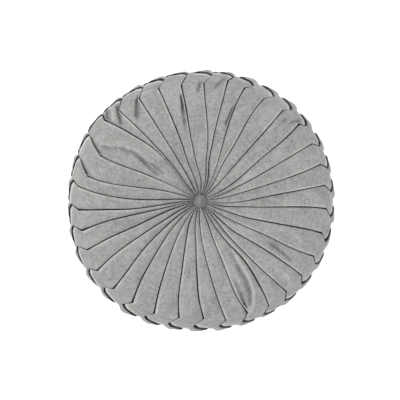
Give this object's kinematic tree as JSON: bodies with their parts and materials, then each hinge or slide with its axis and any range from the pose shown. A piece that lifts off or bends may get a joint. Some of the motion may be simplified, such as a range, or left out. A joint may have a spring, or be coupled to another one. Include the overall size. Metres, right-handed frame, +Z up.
{
  "type": "round floor pillow",
  "caption": "Round filled floor pillow with radial knife pleats on both faces, a smocked plait round its rim and a covered button drawn into a dimple on each face.",
  "frame": {"origin": "on the floor, under the middle of the outline", "axes": "+Z up through the thickness, out of the upper face; X and Y lie along the floor"},
  "size_m": [0.506, 0.4928, 0.13],
  "materials": {
    "cover_cloth": "light grey linen-look weave with fine slubs, matt",
    "button_cloth": "grey plain weave drawn over a button, matt"
  },
  "bodies": {
    "root": {"cover": "cover_cloth", "button_top": "button_cloth", "button_under": "button_cloth"}
  },
  "joints": []
}
